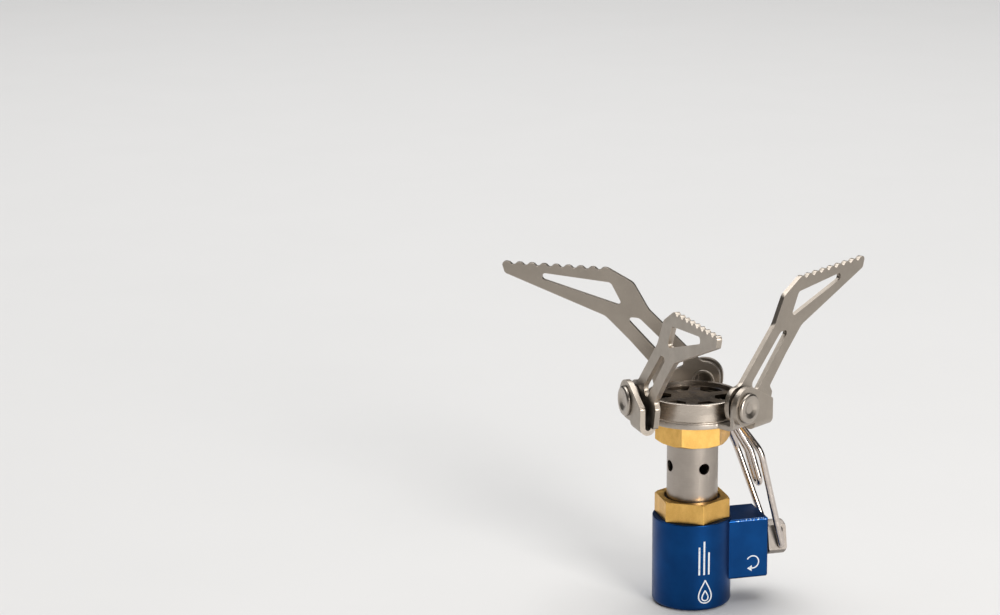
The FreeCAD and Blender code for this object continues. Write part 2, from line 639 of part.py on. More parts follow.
def pot_support(label, angle):
    """One sheet-metal support: toothed main leaf, folded under into a short leaf on the ear's outer side."""
    arm = new_body(label)
    leaf = new_sketch(arm, label + "_leaf", "XZ_Plane", dim("arm_offset"))
    add_outline(leaf, ARM_OUTLINE)
    pad(arm, leaf, sheet_thick)
    short = new_sketch(arm, label + "_short", "XZ_Plane", dim("arm_offset") + sheet_thick + gap)
    add_outline(short, SHORT_LEAF)
    pad(arm, short, sheet_thick)
    fold = new_sketch(arm, label + "_fold", "YZ_Plane", web_left)
    middle = dim("arm_offset") + sheet_thick + gap / 2
    inner = gap / 2
    outer = inner + sheet_thick
    add_outline(fold, [
        (-(middle - outer), bend_z), (-(middle - outer), bend_z - outer, outer - NEAR_FULL),
        (-(middle + outer), bend_z - outer, outer - NEAR_FULL), (-(middle + outer), bend_z),
        (-(middle + inner), bend_z), (-(middle + inner), bend_z - inner, inner - NEAR_FULL),
        (-(middle - inner), bend_z - inner, inner - NEAR_FULL), (-(middle - inner), bend_z),
    ])
    pad(arm, fold, web_right - web_left)
    cut_start = dim("arm_offset") - OVERCUT
    cuts = new_sketch(arm, label + "_openings", "XZ_Plane", cut_start)
    add_outline(cuts, WINDOW, "w")
    add_outline(cuts, SLOT, "s")
    pocket(arm, cuts, sheet_thick + 2 * OVERCUT, backwards=True)
    hole = new_sketch(arm, label + "_pivot", "XZ_Plane", cut_start)
    add_circle(hole, pivot_x, pivot_z, dim("pivot_hole"))
    pocket(arm, hole, 2 * sheet_thick + gap + 2 * OVERCUT, backwards=True)
    notch = new_sketch(arm, label + "_notch", "XZ_Plane", cut_start)
    first, half_gap, shoulder_gap = dim("tooth_first"), dim("tooth_half"), dim("tooth_shoulder")
    trim, above, shoulder_drop = dim("tooth_trim"), dim("tooth_above"), dim("tooth_shoulder_drop")
    add_outline(notch, [
        below_crest(first - half_gap, -above), below_crest(first - half_gap, trim),
        (*below_crest(first - shoulder_gap, shoulder_drop), dim("tooth_round")),
        (*below_crest(first, dim("tooth_depth")), dim("root_round")),
        (*below_crest(first + shoulder_gap, shoulder_drop), dim("tooth_round")),
        below_crest(first + half_gap, trim), below_crest(first + half_gap, -above),
    ])
    slant = notch.addGeometry(Part.LineSegment(
        FreeCAD.Vector(0, 0, 0), FreeCAD.Vector(crest_run.number, crest_rise.number, 0)), True)
    pin_point(notch, "from", slant, 1, 0, 0)
    pin_point(notch, "to", slant, 2, crest_run, crest_rise)
    notch_cut = pocket(arm, notch, sheet_thick + 2 * OVERCUT, backwards=True)
    row = arm.newObject("PartDesign::LinearPattern", label + "_teeth")
    row.Originals = [notch_cut]
    row.Direction = (notch, ["Axis0"])
    row.Length = bind(row, "Length", dim("tooth_pitch") * (TEETH - 1))
    row.Occurrences = TEETH
    arm.Tip = row
    doc.recompute()
    set_place(arm, angle=angle)
    return keep(arm)


def pivot_rivet(label, turn_by):
    """A hollow rivet through both leaves and the ear: dimpled head outside, rolled tail inside."""
    rivet = new_body(label)
    profile = new_sketch(rivet, label + "_profile", "XY_Plane")
    shank_r, hollow = dim("rivet_shank"), dim("rivet_hollow")
    head, tail = dim("rivet_head"), dim("rivet_tail")
    face, under = -dim("rivet_head_high"), -dim("rivet_head_low")
    tail_face, tail_under = -dim("rivet_tail_low"), -dim("rivet_tail_high")
    hollow_end = -dim("rivet_hollow_end")
    floor = face + dim("rivet_dimple_depth")
    add_outline(profile, [
        (0, floor), (dim("dimple_floor"), floor, dim("dimple_round")),
        (dim("rivet_dimple"), face, dim("dimple_lip")), (head, face, dim("rivet_head_round")),
        (head, under), (shank_r, under), (shank_r, tail_under), (tail, tail_under),
        (tail, tail_face, dim("rivet_tail_round")),
        (hollow + dim("rivet_roll"), tail_face, dim("rivet_roll_round")),
        (hollow, tail_under - dim("rivet_roll_depth")), (hollow, hollow_end),
        (0, hollow_end - dim("rivet_drill_point")),
    ])
    turn(rivet, profile)
    reach = math.radians(DIMENSIONS["head_turn"] + turn_by)
    across = Size(math.cos(reach), "cos(Dims.head_turn + %g)" % turn_by)
    along = Size(math.sin(reach), "sin(Dims.head_turn + %g)" % turn_by)
    set_place(rivet, (pivot_x * across, pivot_x * along, pivot_z), angle=dim("head_turn") + turn_by)
    return keep(rivet)


for number, turn_by in enumerate((0, 120, 240), start=1):
    pot_support("pot_support_%d" % number, dim("head_turn") + turn_by)
for number, turn_by in enumerate((0, 120, 240), start=1):
    pivot_rivet("pivot_rivet_%d" % number, turn_by)


# ---- valve spindle, packing and gland ------------------------------------------------------------
gland = new_body("gland_nut")
bush = new_sketch(gland, "gland_bush", "XY_Plane")
add_outline(bush, [
    (dim("gland_start"), dim("gland_bush")), (dim("gland_end"), dim("gland_bush")),
    (dim("gland_end"), dim("gland_radius"), dim("gland_edge")), (dim("gland_start"), dim("gland_radius")),
])
turn(gland, bush, "H_Axis")
driver = new_sketch(gland, "gland_driver", "YZ_Plane", dim("gland_end") - dim("gland_slot"))
slot_half, slot_reach = dim("gland_slot_half"), dim("gland_radius") + OVERCUT
add_outline(driver, [
    (-slot_half, -slot_reach), (slot_half, -slot_reach), (slot_half, slot_reach), (-slot_half, slot_reach),
])
pocket(gland, driver, dim("gland_slot") + OVERCUT, backwards=True)
set_place(gland, (0, 0, axis_height))
keep(gland)

spindle = new_body("spindle")
turned = new_sketch(spindle, "spindle_turned", "XY_Plane")
add_outline(turned, [
    (dim("needle_start"), 0), (dim("needle_start"), dim("needle_point")),
    (dim("needle_start") + dim("needle_taper"), dim("needle_radius")),
    (dim("screw_start"), dim("needle_radius")), (dim("screw_start") + dim("screw_lead"), dim("screw_radius")),
    (dim("screw_end"), dim("screw_radius")),
    (dim("screw_end") + dim("screw_runout"), dim("stem_radius")), (dim("head_start"), dim("stem_radius")),
    (dim("head_start"), dim("head_radius"), dim("head_back_round")),
    (dim("head_end"), dim("head_radius"), dim("head_front_round")), (dim("head_end"), 0),
])
turn(spindle, turned, "H_Axis")
for side, name in ((1, "flat_fore"), (-1, "flat_aft")):
    flat = new_sketch(spindle, name, "XY_Plane")
    edge, past = dim("head_half") * side, (dim("head_radius") + OVERCUT) * side
    low, high = (edge, past) if side > 0 else (past, edge)
    back, front = dim("head_start") - OVERCUT, dim("head_end") + OVERCUT
    add_outline(flat, [(back, low), (front, low), (front, high), (back, high)])
    pocket(spindle, flat, 2 * (dim("head_radius") + OVERCUT), both_ways=True)
for side, name in ((1, "cross_upper"), (-1, "cross_lower")):
    cross = new_sketch(spindle, name, "XZ_Plane")
    add_circle(cross, dim("cross_reach"), dim("cross_height") * side, dim("cross_hole"))
    pocket(spindle, cross, 2 * (dim("head_radius") + OVERCUT), both_ways=True)
set_place(spindle, (0, 0, axis_height), (1, 0, 0), dim("spindle_turn"))
keep(spindle)

ring_seal("spindle_seal", dim("packing_ring"), dim("packing_wire"), (dim("packing_place"), 0, axis_height),
          (0, 1, 0), 90)


# ---- wire handle ---------------------------------------------------------------------------------
def rounded_path(points, radii):
    """A wire of straight runs joined by tangent arcs, radii[i] at points[i]; end points have no arc."""
    edges = []
    last = points[0]
    for i in range(1, len(points) - 1):
        back, ahead = (points[i - 1] - points[i]).normalize(), (points[i + 1] - points[i]).normalize()
        angle = back.getAngle(ahead)
        reach = radii[i] / math.tan(angle / 2)
        start, finish = points[i] + back * reach, points[i] + ahead * reach
        inward = (back + ahead).normalize()
        middle = points[i] + inward * (radii[i] / math.sin(angle / 2) - radii[i])
        if (start - last).Length > TINY:
            edges.append(Part.LineSegment(last, start).toShape())
        edges.append(Part.Arc(start, middle, finish).toShape())
        last = finish
    edges.append(Part.LineSegment(last, points[-1]).toShape())
    return Part.Wire(edges)


def sheet_value(name):
    return float(sheet.get(name))


lean = math.radians(sheet_value("grip_lean"))
upper_lean = math.radians(sheet_value("grip_upper_lean"))
lower_run = sheet_value("grip_lower")


def grip_point(sideways, travel):
    """A point of the handle: sideways from its middle, travel up the handle from its pivot."""
    low = min(travel, lower_run)
    high = travel - low
    return FreeCAD.Vector(
        sheet_value("cross_reach") - low * math.sin(lean) - high * math.sin(upper_lean),
        sideways,
        -sheet_value("cross_height") + low * math.cos(lean) + high * math.cos(upper_lean),
    )


foot, wide = sheet_value("grip_foot"), sheet_value("grip_wide")
tip, tongue = sheet_value("grip_tip"), sheet_value("tongue_half")
full_run = lower_run + sheet_value("grip_upper")
tongue_end = sheet_value("tongue_end")
foot_round, side_round = sheet_value("grip_foot_round"), sheet_value("grip_side_round")
tip_round = sheet_value("grip_tip_round")
half_route = [
    (sheet_value("stub_end"), 0, 0), (foot, 0, foot_round), (wide, lower_run, side_round),
    (tip, full_run, tip_round), (tongue, full_run, tip_round), (tongue, lower_run, side_round),
    (tongue, tongue_end, tongue - NEAR_FULL),
]
route = [(-s, t, r) for s, t, r in half_route] + [(s, t, r) for s, t, r in reversed(half_route)]
centreline = rounded_path([grip_point(s, t) for s, t, r in route], [r for s, t, r in route])
section = Part.Wire([Part.Circle(grip_point(-sheet_value("stub_end"), 0), FreeCAD.Vector(0, 1, 0),
                                 sheet_value("wire_radius")).toShape()])
handle = doc.addObject("Part::Feature", "control_handle")
handle.Label = "control_handle"
handle.Shape = centreline.makePipeShell([section], True, False)
handle.Placement = FreeCAD.Placement(
    FreeCAD.Vector(0, 0, sheet_value("spindle_height")),
    FreeCAD.Rotation(FreeCAD.Vector(1, 0, 0), sheet_value("spindle_turn")))
keep(handle)
wire_volume = math.pi * sheet_value("wire_radius") ** 2 * centreline.Length
print("handle wire %.2f mm3, its section times its length %.2f mm3" % (handle.Shape.Volume, wire_volume))


# ---- check and export ----------------------------------------------------------------------------
doc.recompute()
for item in doc.Objects:
    if "Invalid" in item.State or "Error" in item.State:
        raise RuntimeError("%s: %s" % (item.Name, item.State))
for node in NODES:
    if node.Shape.isNull() or not node.Shape.isValid():
        raise RuntimeError(node.Label + " has no valid shape")
    print("%-18s solids %d  volume %9.2f mm3" % (node.Label, len(node.Shape.Solids), node.Shape.Volume))
    node.Shape.exportStep("parts/%s.step" % node.Label)
print("%d sub-parts written" % len(NODES))
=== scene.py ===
import json
import math

import bmesh
import bpy
from mathutils import Matrix, Vector


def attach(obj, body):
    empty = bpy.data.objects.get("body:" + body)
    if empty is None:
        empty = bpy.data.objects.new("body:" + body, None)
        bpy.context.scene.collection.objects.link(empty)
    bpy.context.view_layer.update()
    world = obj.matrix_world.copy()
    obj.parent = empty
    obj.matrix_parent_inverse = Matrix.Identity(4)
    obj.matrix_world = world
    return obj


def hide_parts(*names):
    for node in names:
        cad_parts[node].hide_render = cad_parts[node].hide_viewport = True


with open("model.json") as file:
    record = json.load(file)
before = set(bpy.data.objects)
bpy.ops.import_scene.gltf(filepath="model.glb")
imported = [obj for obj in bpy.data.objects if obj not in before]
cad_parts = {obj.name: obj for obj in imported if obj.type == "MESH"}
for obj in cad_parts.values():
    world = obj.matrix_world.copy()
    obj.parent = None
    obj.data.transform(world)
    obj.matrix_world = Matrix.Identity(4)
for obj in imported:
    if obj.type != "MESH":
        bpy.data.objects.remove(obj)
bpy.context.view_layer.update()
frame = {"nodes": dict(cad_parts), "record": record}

# Visual model of a folding canister stove. Metres, +Z up, valve spindle along +X.
MM = 0.001
NODES = frame["nodes"]


# ---- shader helpers ------------------------------------------------------------------------------
# Most of a noise texture's values lie between these two.
NOISE_LOW, NOISE_HIGH = 0.3, 0.7
# How far a rounded normal agrees with the plain one: on a flat surface, and on a rounded edge.
FLAT_AGREES, EDGE_AGREES = 0.99, 0.90


def toned(color, factor):
    """The colour made darker or paler by factor, each channel at most 1."""
    return [min(1, factor * channel) for channel in color]


class Shader:
    """A principled material whose textures are laid out in millimetres of the part's own frame."""

    def __init__(self, name, color, metallic=1.0, roughness=0.4):
        self.material = bpy.data.materials.new(name)
        self.material.use_nodes = True
        self.tree = self.material.node_tree
        self.surface = self.tree.nodes["Principled BSDF"]
        self.surface.inputs["Base Color"].default_value = (*color, 1)
        self.surface.inputs["Metallic"].default_value = metallic
        self.surface.inputs["Roughness"].default_value = roughness
        self.place = self.tree.nodes.new("ShaderNodeTexCoord").outputs["Object"]
        self.height = None

    def node(self, kind, **settings):
        made = self.tree.nodes.new(kind)
        for key, value in settings.items():
            setattr(made, key, value)
        return made

    def link(self, out, socket):
        self.tree.links.new(out, socket)

    def feed(self, socket, value):
        if isinstance(value, bpy.types.NodeSocket):
            self.link(value, socket)
        else:
            socket.default_value = value

    def spot(self, scale=(1, 1, 1)):
        """Coordinates in millimetres, stretched by scale."""
        mapping = self.node("ShaderNodeMapping")
        mapping.inputs["Scale"].default_value = [1000 * s for s in scale]
        self.link(self.place, mapping.inputs["Vector"])
        return mapping.outputs["Vector"]

    def noise(self, scale=(1, 1, 1), detail=3, rough=0.55):
        texture = self.node("ShaderNodeTexNoise")
        texture.inputs["Scale"].default_value = 1
        texture.inputs["Detail"].default_value = detail
        texture.inputs["Roughness"].default_value = rough
        self.link(self.spot(scale), texture.inputs["Vector"])
        return texture.outputs["Fac"]

    def math(self, operation, first, second=0.0):
        made = self.node("ShaderNodeMath", operation=operation)
        for socket, value in zip(made.inputs, (first, second)):
            self.feed(socket, value)
        return made.outputs["Value"]

    def spread(self, value, low, high, to_low=0.0, to_high=1.0):
        made = self.node("ShaderNodeMapRange", interpolation_type="SMOOTHSTEP")
        for socket, number in zip(made.inputs, (value, low, high, to_low, to_high)):
            self.feed(socket, number)
        return made.outputs["Result"]

    def blend(self, amount, first, second, kind="MIX"):
        made = self.node("ShaderNodeMix", data_type="RGBA", blend_type=kind)
        self.feed(made.inputs["Factor"], amount)
        for socket, value in ((made.inputs["A"], first), (made.inputs["B"], second)):
            self.feed(socket, value if isinstance(value, bpy.types.NodeSocket) else (*value, 1))
        return made.outputs["Result"]

    def axes(self):
        split = self.node("ShaderNodeSeparateXYZ")
        self.link(self.spot(), split.inputs["Vector"])
        return split.outputs

    def color(self, value):
        self.link(value, self.surface.inputs["Base Color"])

    def roughness(self, texture, rough):
        """Roughness that wanders with the texture between the two values of rough."""
        varied = self.spread(texture, NOISE_LOW, NOISE_HIGH, *rough)
        self.link(varied, self.surface.inputs["Roughness"])

    def crevice(self, reach):
        """1 in the open, falling towards 0 where the surface is closed in within reach millimetres."""
        made = self.node("ShaderNodeAmbientOcclusion", samples=6)
        made.inputs["Distance"].default_value = reach * MM
        return made.outputs["AO"]

    def shaded_in_crevices(self, unshaded, shade_tone, reach, low, high, amount):
        """Painted shade: blends in a dark colour, up to amount, where the surface is closed in within reach
        mm.
        """
        # Painted shade: the occlusion mask darkens hollows and gaps between parts.
        crevice_shade = self.spread(self.crevice(reach), low, high, amount, 0)
        return self.blend(crevice_shade, unshaded, shade_tone)

    def edge(self, width):
        """Up to 1 on outward edges, 0 on flat surfaces, over width millimetres."""
        rounded = self.node("ShaderNodeBevel", samples=4)
        rounded.inputs["Radius"].default_value = width * MM
        plain = self.node("ShaderNodeNewGeometry").outputs["Normal"]
        turned = self.node("ShaderNodeVectorMath", operation="DOT_PRODUCT")
        self.link(rounded.outputs["Normal"], turned.inputs[0])
        self.link(plain, turned.inputs[1])
        return self.spread(turned.outputs["Value"], FLAT_AGREES, EDGE_AGREES)

    def bump(self, height, depth):
        """Raises the surface by height, whose unit step stands depth millimetres proud."""
        made = self.node("ShaderNodeBump")
        made.inputs["Strength"].default_value = 1.0
        made.inputs["Distance"].default_value = depth * MM
        self.link(height, made.inputs["Height"])
        if self.height is not None:
            self.link(self.height, made.inputs["Normal"])
        self.height = made.outputs["Normal"]
        self.link(self.height, self.surface.inputs["Normal"])


def tumbled_steel(name, color, rough=(0.36, 0.44), grain=0.008):
    """Sheet metal with a fine stone-tumbled surface, faint stains and a few short scratches."""
    made = Shader(name, color)
    broad = made.noise((0.16, 0.16, 0.16), 4)
    fine = made.noise((7, 7, 7), 2)
    tone = made.blend(made.spread(broad, 0.25, 0.8), toned(color, 0.93), toned(color, 1.05))
    speckle = made.blend(made.spread(fine, 0.35, 0.7, 0, 0.35), tone, toned(color, 0.72))
    scratch = made.noise((0.5, 9, 0.9), 1)
    line = made.spread(scratch, 0.71, 0.76)
    scored = made.blend(made.math("MULTIPLY", line, 0.35), speckle, toned(color, 1.35))
    # Painted highlight: paler along the rounded edges.
    edge_highlit = made.blend(made.math("MULTIPLY", made.edge(0.3), 0.45), scored, toned(color, 1.45))
    # Painted shade: much darker where the surface is closed in by nearby metal.
    made.color(made.shaded_in_crevices(edge_highlit, toned(color, 0.22), 2.5, 0.15, 0.75, 0.75))
    made.roughness(made.noise((0.6, 0.6, 0.6), 4), rough)
    made.bump(fine, grain)
    made.bump(scratch, 0.004)
    return made.material


def turned_metal(name, color, rough=(0.26, 0.38), lines=(0.25, 0.25, 22), groove=0.006, stain=0.9):
    """Lathe-turned metal: fine rings about the vertical axis over broad, faint stains."""
    made = Shader(name, color)
    rings = made.noise(lines, 2)
    broad = made.noise((0.2, 0.2, 0.2), 4)
    tone = made.blend(made.spread(broad, 0.35, 0.7), toned(color, stain), color)
    lined = made.blend(made.spread(rings, 0.35, 0.7, 0, 0.25), tone, toned(color, 0.75))
    # Painted shade: much darker where the surface is closed in by nearby metal.
    made.color(made.shaded_in_crevices(lined, toned(color, 0.2), 3.0, 0.15, 0.7, 0.8))
    made.roughness(rings, rough)
    made.bump(rings, groove)
    made.bump(made.noise((6, 6, 6), 2), 0.004)
    return made.material


def brass(name, color=(0.860, 0.520, 0.155)):
    """Machined brass, slightly dulled, with a fine granular surface and darker stains."""
    made = Shader(name, color)
    grains = made.noise((8, 8, 8), 2)
    broad = made.noise((0.35, 0.35, 0.2), 5)
    stained = [channel * share for channel, share in zip(color, (0.82, 0.78, 0.7))]
    tone = made.blend(made.spread(broad, 0.38, 0.72), stained, color)
    pale = toned(color, 1.3)
    grainy = made.blend(made.spread(grains, 0.4, 0.75, 0, 0.4), tone, pale)
    # Paler along the edges: partly rubbed wear, partly painted highlight.
    worn_and_highlit = made.blend(made.math("MULTIPLY", made.edge(0.25), 0.6), grainy, pale)
    # Painted shade: much darker where the surface is closed in by nearby metal.
    made.color(made.shaded_in_crevices(worn_and_highlit, toned(color, 0.25), 2.0, 0.15, 0.7, 0.75))
    made.roughness(made.noise((1.2, 1.2, 1.2), 3), (0.30, 0.44))
    made.bump(grains, 0.010)
    made.bump(made.noise((0.4, 0.4, 14), 2), 0.004)
    return made.material


# Where the boss's long top edges lie, in mm, and the stretch over which the boss leaves the round body.
BOSS_EDGE_HEIGHT, BOSS_EDGE_SIDE = 20.72, 5.6
BOSS_ROOT = (9.0, 9.6)


def anodised_blue():
    """Deep blue anodising over fine machining marks, paler where the boss's edges have been rubbed."""
    deep, bright, bare = (0.006, 0.042, 0.152), (0.007, 0.058, 0.205), (0.45, 0.58, 0.72)
    made = Shader("anodised_blue", bright)
    x, y, z = made.axes()
    broad = made.noise((0.12, 0.12, 0.12), 3)
    tone = made.blend(made.spread(broad, 0.2, 0.8), deep, bright)
    edge_z = made.math("ABSOLUTE", made.math("SUBTRACT", z, BOSS_EDGE_HEIGHT))
    edge_y = made.math("ABSOLUTE", made.math("SUBTRACT", made.math("ABSOLUTE", y), BOSS_EDGE_SIDE))
    near = made.math("MULTIPLY", made.spread(edge_z, 0.12, 0.4, 1, 0), made.spread(edge_y, 0.1, 0.4, 1, 0))
    near = made.math("MULTIPLY", near, made.spread(x, *BOSS_ROOT))
    foot = made.spread(z, 0.0, 0.35, 0.10, 0)
    patchy = made.spread(made.noise((2.6, 2.6, 2.6), 3), 0.52, 0.66, 0, 0.8)
    made.color(made.blend(made.math("MULTIPLY", made.math("MAXIMUM", near, foot), patchy), tone, bare))
    made.roughness(made.noise((0.8, 0.8, 0.8), 4), (0.32, 0.38))
    made.bump(made.noise((0.3, 0.3, 16), 2), 0.004)
    made.bump(made.noise((9, 9, 9), 1), 0.003)
    return made.material


def heat_tinted():
    """Steel darkened by flame: brown-grey with straw and blue patches and a dusting of soot."""
    made = Shader("heat_tinted_steel", (0.09, 0.075, 0.06), roughness=0.5)
    patches = made.noise((0.22, 0.22, 0.22), 5)
    tone = made.blend(made.spread(patches, 0.35, 0.65), (0.044, 0.035, 0.027), (0.098, 0.076, 0.056))
    blue = made.spread(made.noise((0.3, 0.3, 0.3), 3), 0.58, 0.72, 0, 0.5)
    made.color(made.blend(blue, tone, (0.055, 0.060, 0.080)))
    made.roughness(made.noise((1.5, 1.5, 1.5), 4), (0.38, 0.62))
    made.bump(made.noise((6, 6, 6), 2), 0.012)
    return made.material


def bright_nickel(name, color=(0.68, 0.61, 0.56), rough=(0.16, 0.28), lines=(4, 4, 4)):
    """Smooth nickel plate with slight waviness, handling marks and painted shade where it meets other metal.
    """
    made = Shader(name, color)
    haze = made.noise((0.7, 0.7, 0.7), 4)
    tone = made.blend(made.spread(haze, 0.35, 0.7), toned(color, 0.84), color)
    # Painted shade: much darker where the surface is closed in by nearby metal.
    made.color(made.shaded_in_crevices(tone, toned(color, 0.2), 2.0, 0.2, 0.8, 0.7))
    made.roughness(haze, rough)
    made.bump(made.noise(lines, 2), 0.003)
    return made.material


def rubber():
    """Matt black rubber, faintly grained."""
    made = Shader("black_rubber", (0.018, 0.018, 0.019), metallic=0.0, roughness=0.6)
    made.roughness(made.noise((2, 2, 2), 3), (0.5, 0.72))
    made.bump(made.noise((8, 8, 8), 2), 0.01)
    return made.material


def sintered():
    """Bronze grains pressed together, open pores between them."""
    made = Shader("sintered_bronze", (0.34, 0.20, 0.09), metallic=0.8, roughness=0.6)
    cells = made.node("ShaderNodeTexVoronoi")
    cells.inputs["Scale"].default_value = 1
    made.link(made.spot((6, 6, 6)), cells.inputs["Vector"])
    pores = made.spread(cells.outputs["Distance"], 0.2, 0.7)
    # Painted shade: the gaps between the grains are near black.
    made.color(made.blend(pores, (0.46, 0.28, 0.12), (0.10, 0.06, 0.03)))
    made.bump(made.math("SUBTRACT", 1.0, pores), 0.05)
    return made.material


def white_print():
    """White ink, slightly rubbed, printed on the anodised surface."""
    ink, rubbed_through = (0.70, 0.74, 0.78), (0.10, 0.20, 0.36)
    made = Shader("white_print", ink, metallic=0.0, roughness=0.5)
    rubbed = made.spread(made.noise((2.2, 2.2, 2.2), 4), 0.56, 0.72, 0, 0.6)
    made.color(made.blend(rubbed, ink, rubbed_through))
    made.roughness(made.noise((5, 5, 5), 2), (0.42, 0.6))
    made.bump(made.noise((9, 9, 9), 2), 0.004)
    return made.material


MATERIALS = {
    "support": tumbled_steel("tumbled_support_steel", (0.430, 0.380, 0.325)),
    "bracket": tumbled_steel("tumbled_bracket_steel", (0.480, 0.430, 0.380)),
    "rivet": tumbled_steel("tumbled_rivet_steel", (0.480, 0.430, 0.375), (0.28, 0.4)),
    "cup": turned_metal("spun_burner_steel", (0.560, 0.495, 0.430)),
    "tube": turned_metal("drawn_tube_steel", (0.440, 0.390, 0.345), (0.28, 0.4)),
    "spreader": turned_metal("spreader_steel", (0.30, 0.27, 0.23), (0.35, 0.5), (3, 3, 3)),
    "brass": brass("machined_brass"),
    "dark_brass": brass("turned_brass", (0.55, 0.33, 0.10)),
    "copper": turned_metal("annealed_copper", (0.50, 0.22, 0.12)),
    "blue": anodised_blue(),
    "flame": heat_tinted(),
    "wire": bright_nickel("nickel_wire"),
    "spindle": bright_nickel("nickel_spindle", (0.36, 0.325, 0.295), (0.54, 0.66)),
    "rubber": rubber(),
    "filter": sintered(),
    "print": white_print(),
}
LOOKS = {
    "valve_body": "blue", "canister_seal": "rubber", "valve_pin": "dark_brass", "gas_filter": "filter",
    "jet": "dark_brass", "jet_seal": "copper", "lower_nut": "brass", "upper_nut": "brass",
    "mixing_tube": "tube", "support_bracket": "bracket", "burner_cup": "cup",
    "flame_spreader": "spreader", "flame_plate": "flame", "gland_nut": "dark_brass", "spindle_seal": "rubber",
    "spindle": "spindle", "control_handle": "wire",
}
for number in (1, 2, 3):
    LOOKS["pot_support_%d" % number] = "support"
    LOOKS["pivot_rivet_%d" % number] = "rivet"
for node, look in LOOKS.items():
    mesh = NODES[node].data
    mesh.materials.clear()
    mesh.materials.append(MATERIALS[look])


# ---- softened copies of the machined and pressed pieces ------------------------------------------
BODY_OF = {node: name for name, members in frame["record"]["behaviour"]["bodies"].items() for node in members}
WELD = 1e-6
# Triangles that meet at less than this, in degrees, are one flat face.
FLAT_WITHIN = 0.4


def clean_mesh(source):
    """The source's mesh welded at its seams, with flat runs of triangles joined into single faces."""
    shape = bmesh.new()
    shape.from_mesh(source.data)
    bmesh.ops.remove_doubles(shape, verts=shape.verts, dist=WELD)
    bmesh.ops.dissolve_degenerate(shape, dist=WELD, edges=shape.edges)
    bmesh.ops.dissolve_limit(
        shape, angle_limit=math.radians(FLAT_WITHIN), use_dissolve_boundaries=False,
        verts=shape.verts, edges=shape.edges)
    for face in shape.faces:
        face.smooth = True
    mesh = bpy.data.meshes.new(source.name + "_clean")
    shape.to_mesh(mesh)
    shape.free()
    return mesh


def closed_strip(name, sections):
    """A solid skin through equal closed sections, capped at both ends."""
    count = len(sections[0])
    corners = [point for section in sections for point in section]
    faces = []
    for i in range(len(sections) - 1):
        near, far = i * count, (i + 1) * count
        for k in range(count):
            following = (k + 1) % count
            faces.append((near + k, near + following, far + following, far + k))
    faces.append(tuple(reversed(range(count))))
    faces.append(tuple(range(len(corners) - count, len(corners))))
    mesh = bpy.data.meshes.new(name)
    mesh.from_pydata(corners, [], faces)
    shape = bmesh.new()
    shape.from_mesh(mesh)
    bmesh.ops.recalc_face_normals(shape, faces=shape.faces)
    shape.to_mesh(mesh)
    shape.free()
    return mesh


# The canister thread, in mm: pitch, first and last height of the groove, steps in a turn, section.
THREAD_PITCH = 0.907
THREAD_START = -0.6
THREAD_END = 5.75
THREAD_STEPS = 72
THREAD_PROFILE = ((4.95, -0.44), (5.50, -0.05), (5.50, 0.05), (4.95, 0.44))


def thread_cutter():
    """The helical groove of the canister thread, from below the foot into the relief above it."""
    turns = (THREAD_END - THREAD_START) / THREAD_PITCH
    sections = []
    for step in range(int(turns * THREAD_STEPS) + 1):
        angle = 2 * math.pi * step / THREAD_STEPS
        height = THREAD_START + THREAD_PITCH * step / THREAD_STEPS
        sections.append([
            (radius * math.cos(angle) * MM, radius * math.sin(angle) * MM, (height + rise) * MM)
            for radius, rise in THREAD_PROFILE])
    cutter = bpy.data.objects.new("thread_cutter", closed_strip("thread_cutter", sections))
    bpy.context.scene.collection.objects.link(cutter)
    return cutter


def softened(node, edge, sharp, cutter=None):
    """Replaces a CAD node by a copy with its sharp edges rounded over edge mm, and any groove cut.

    An edge is sharp where the surface turns by more than sharp degrees.
    """
    piece = bpy.data.objects.new(node + "_finished", clean_mesh(NODES[node]))
    bpy.context.scene.collection.objects.link(piece)
    rounding = piece.modifiers.new("rounding", "BEVEL")
    rounding.width = edge * MM
    rounding.segments = 2
    rounding.limit_method = "ANGLE"
    rounding.angle_limit = math.radians(sharp)
    rounding.use_clamp_overlap = True
    if cutter is not None:
        groove = piece.modifiers.new("groove", "BOOLEAN")
        groove.operation = "DIFFERENCE"
        groove.solver = "EXACT"
        groove.object = cutter
    weighing = piece.modifiers.new("weighing", "WEIGHTED_NORMAL")
    weighing.mode = "FACE_AREA"
    weighing.weight = 100
    bpy.context.view_layer.update()
    graph = bpy.context.evaluated_depsgraph_get()
    finished = bpy.data.meshes.new_from_object(piece.evaluated_get(graph))
    piece.modifiers.clear()
    piece.data = finished
    finished.materials.clear()
    finished.materials.append(MATERIALS[LOOKS[node]])
    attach(piece, BODY_OF[node])
    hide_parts(node)


# Rounding of each piece's edges, in mm.
SOFT_EDGES = {
    "valve_body": 0.10, "lower_nut": 0.10, "upper_nut": 0.10, "mixing_tube": 0.06, "support_bracket": 0.16,
    "burner_cup": 0.10, "flame_plate": 0.10, "spindle": 0.12, "gland_nut": 0.08, "jet": 0.05,
}
for number in (1, 2, 3):
    SOFT_EDGES["pot_support_%d" % number] = 0.20
    SOFT_EDGES["pivot_rivet_%d" % number] = 0.06
# Edges turning by more than this, in degrees, are rounded.
SHARP_ANGLE = 32
SHARP_OVER = {"valve_body": 50, "burner_cup": 50}
threads = thread_cutter()
for node, edge in SOFT_EDGES.items():
    softened(node, edge, SHARP_OVER.get(node, SHARP_ANGLE), threads if node == "valve_body" else None)
bpy.data.objects.remove(threads)


